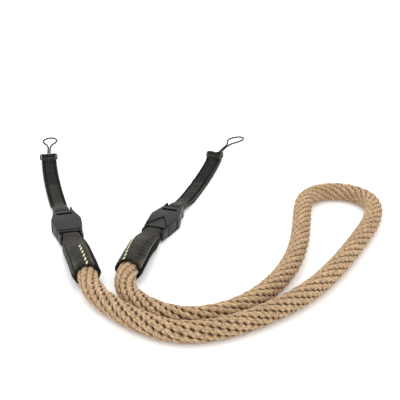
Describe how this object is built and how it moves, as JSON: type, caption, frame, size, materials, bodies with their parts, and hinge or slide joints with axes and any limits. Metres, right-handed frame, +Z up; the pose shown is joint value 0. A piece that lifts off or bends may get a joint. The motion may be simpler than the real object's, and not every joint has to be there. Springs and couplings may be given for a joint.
{
  "type": "camera neck strap",
  "caption": "Camera neck strap lying flat: tan braided cotton rope, black leather end caps, side-release buckles, leather tabs and thin cord loops.",
  "frame": {"origin": "middle of the strap's footprint, measured without the two thin cord loops, on the surface it lies on", "axes": "+Z up from the surface, +Y towards the thin cord loops along the longer side of the footprint, +X to the right in the picture"},
  "size_m": [0.2032, 0.2533, 0.0126],
  "materials": {
    "cotton_rope": "soft braided cotton, matt",
    "black_leather": "smooth semi-matt",
    "black_plastic": "satin moulded",
    "black_cord": "tight braided, matt"
  },
  "bodies": {
    "root": {"neck_rope": "cotton_rope", "left_cap": "black_leather", "right_cap": "black_leather", "left_buckle_plug": "black_plastic", "left_buckle_socket": "black_plastic", "right_buckle_plug": "black_plastic", "right_buckle_socket": "black_plastic", "left_tab": "black_leather", "right_tab": "black_leather", "left_cord_loop": "black_cord", "right_cord_loop": "black_cord"}
  },
  "joints": []
}
